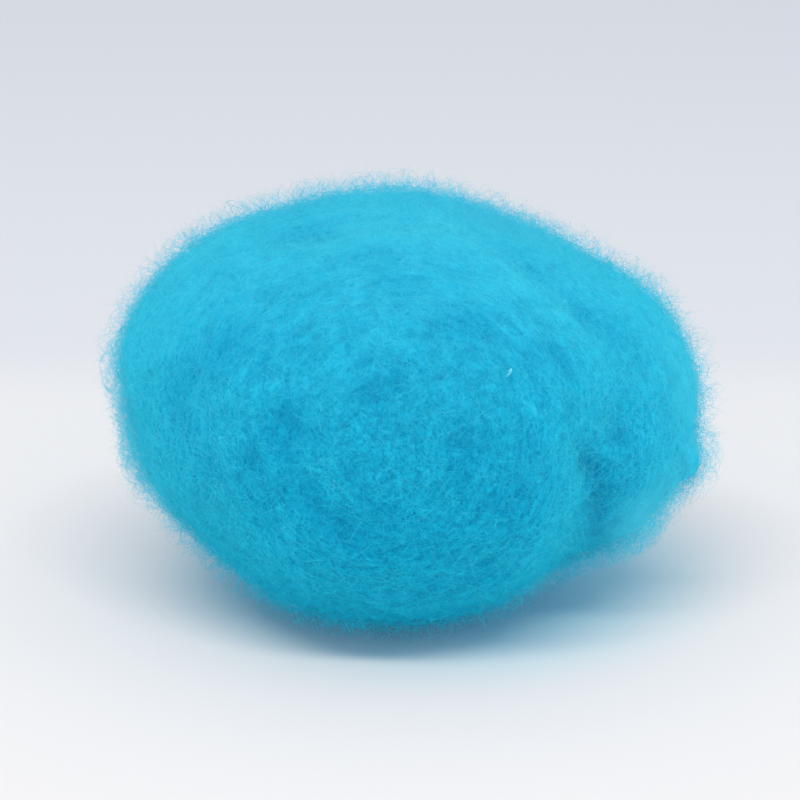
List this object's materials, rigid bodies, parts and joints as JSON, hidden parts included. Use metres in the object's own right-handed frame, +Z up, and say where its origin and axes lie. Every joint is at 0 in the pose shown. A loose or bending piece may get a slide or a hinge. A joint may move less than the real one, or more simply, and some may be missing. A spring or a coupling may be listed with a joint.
{
  "type": "carded wool",
  "caption": "Loose lump of carded sheep's wool, gathered by hand into a flattened ball for felting, spinning or stuffing.",
  "frame": {"origin": "the floor under the middle of the lump's outline, on its flat resting spot", "axes": "+Z up, +X along the lump's width to the right, +Y away from the side that is shown"},
  "size_m": [0.109, 0.0922, 0.0769],
  "materials": {
    "wool": "matte"
  },
  "bodies": {
    "root": {"wool": "wool"}
  },
  "joints": []
}
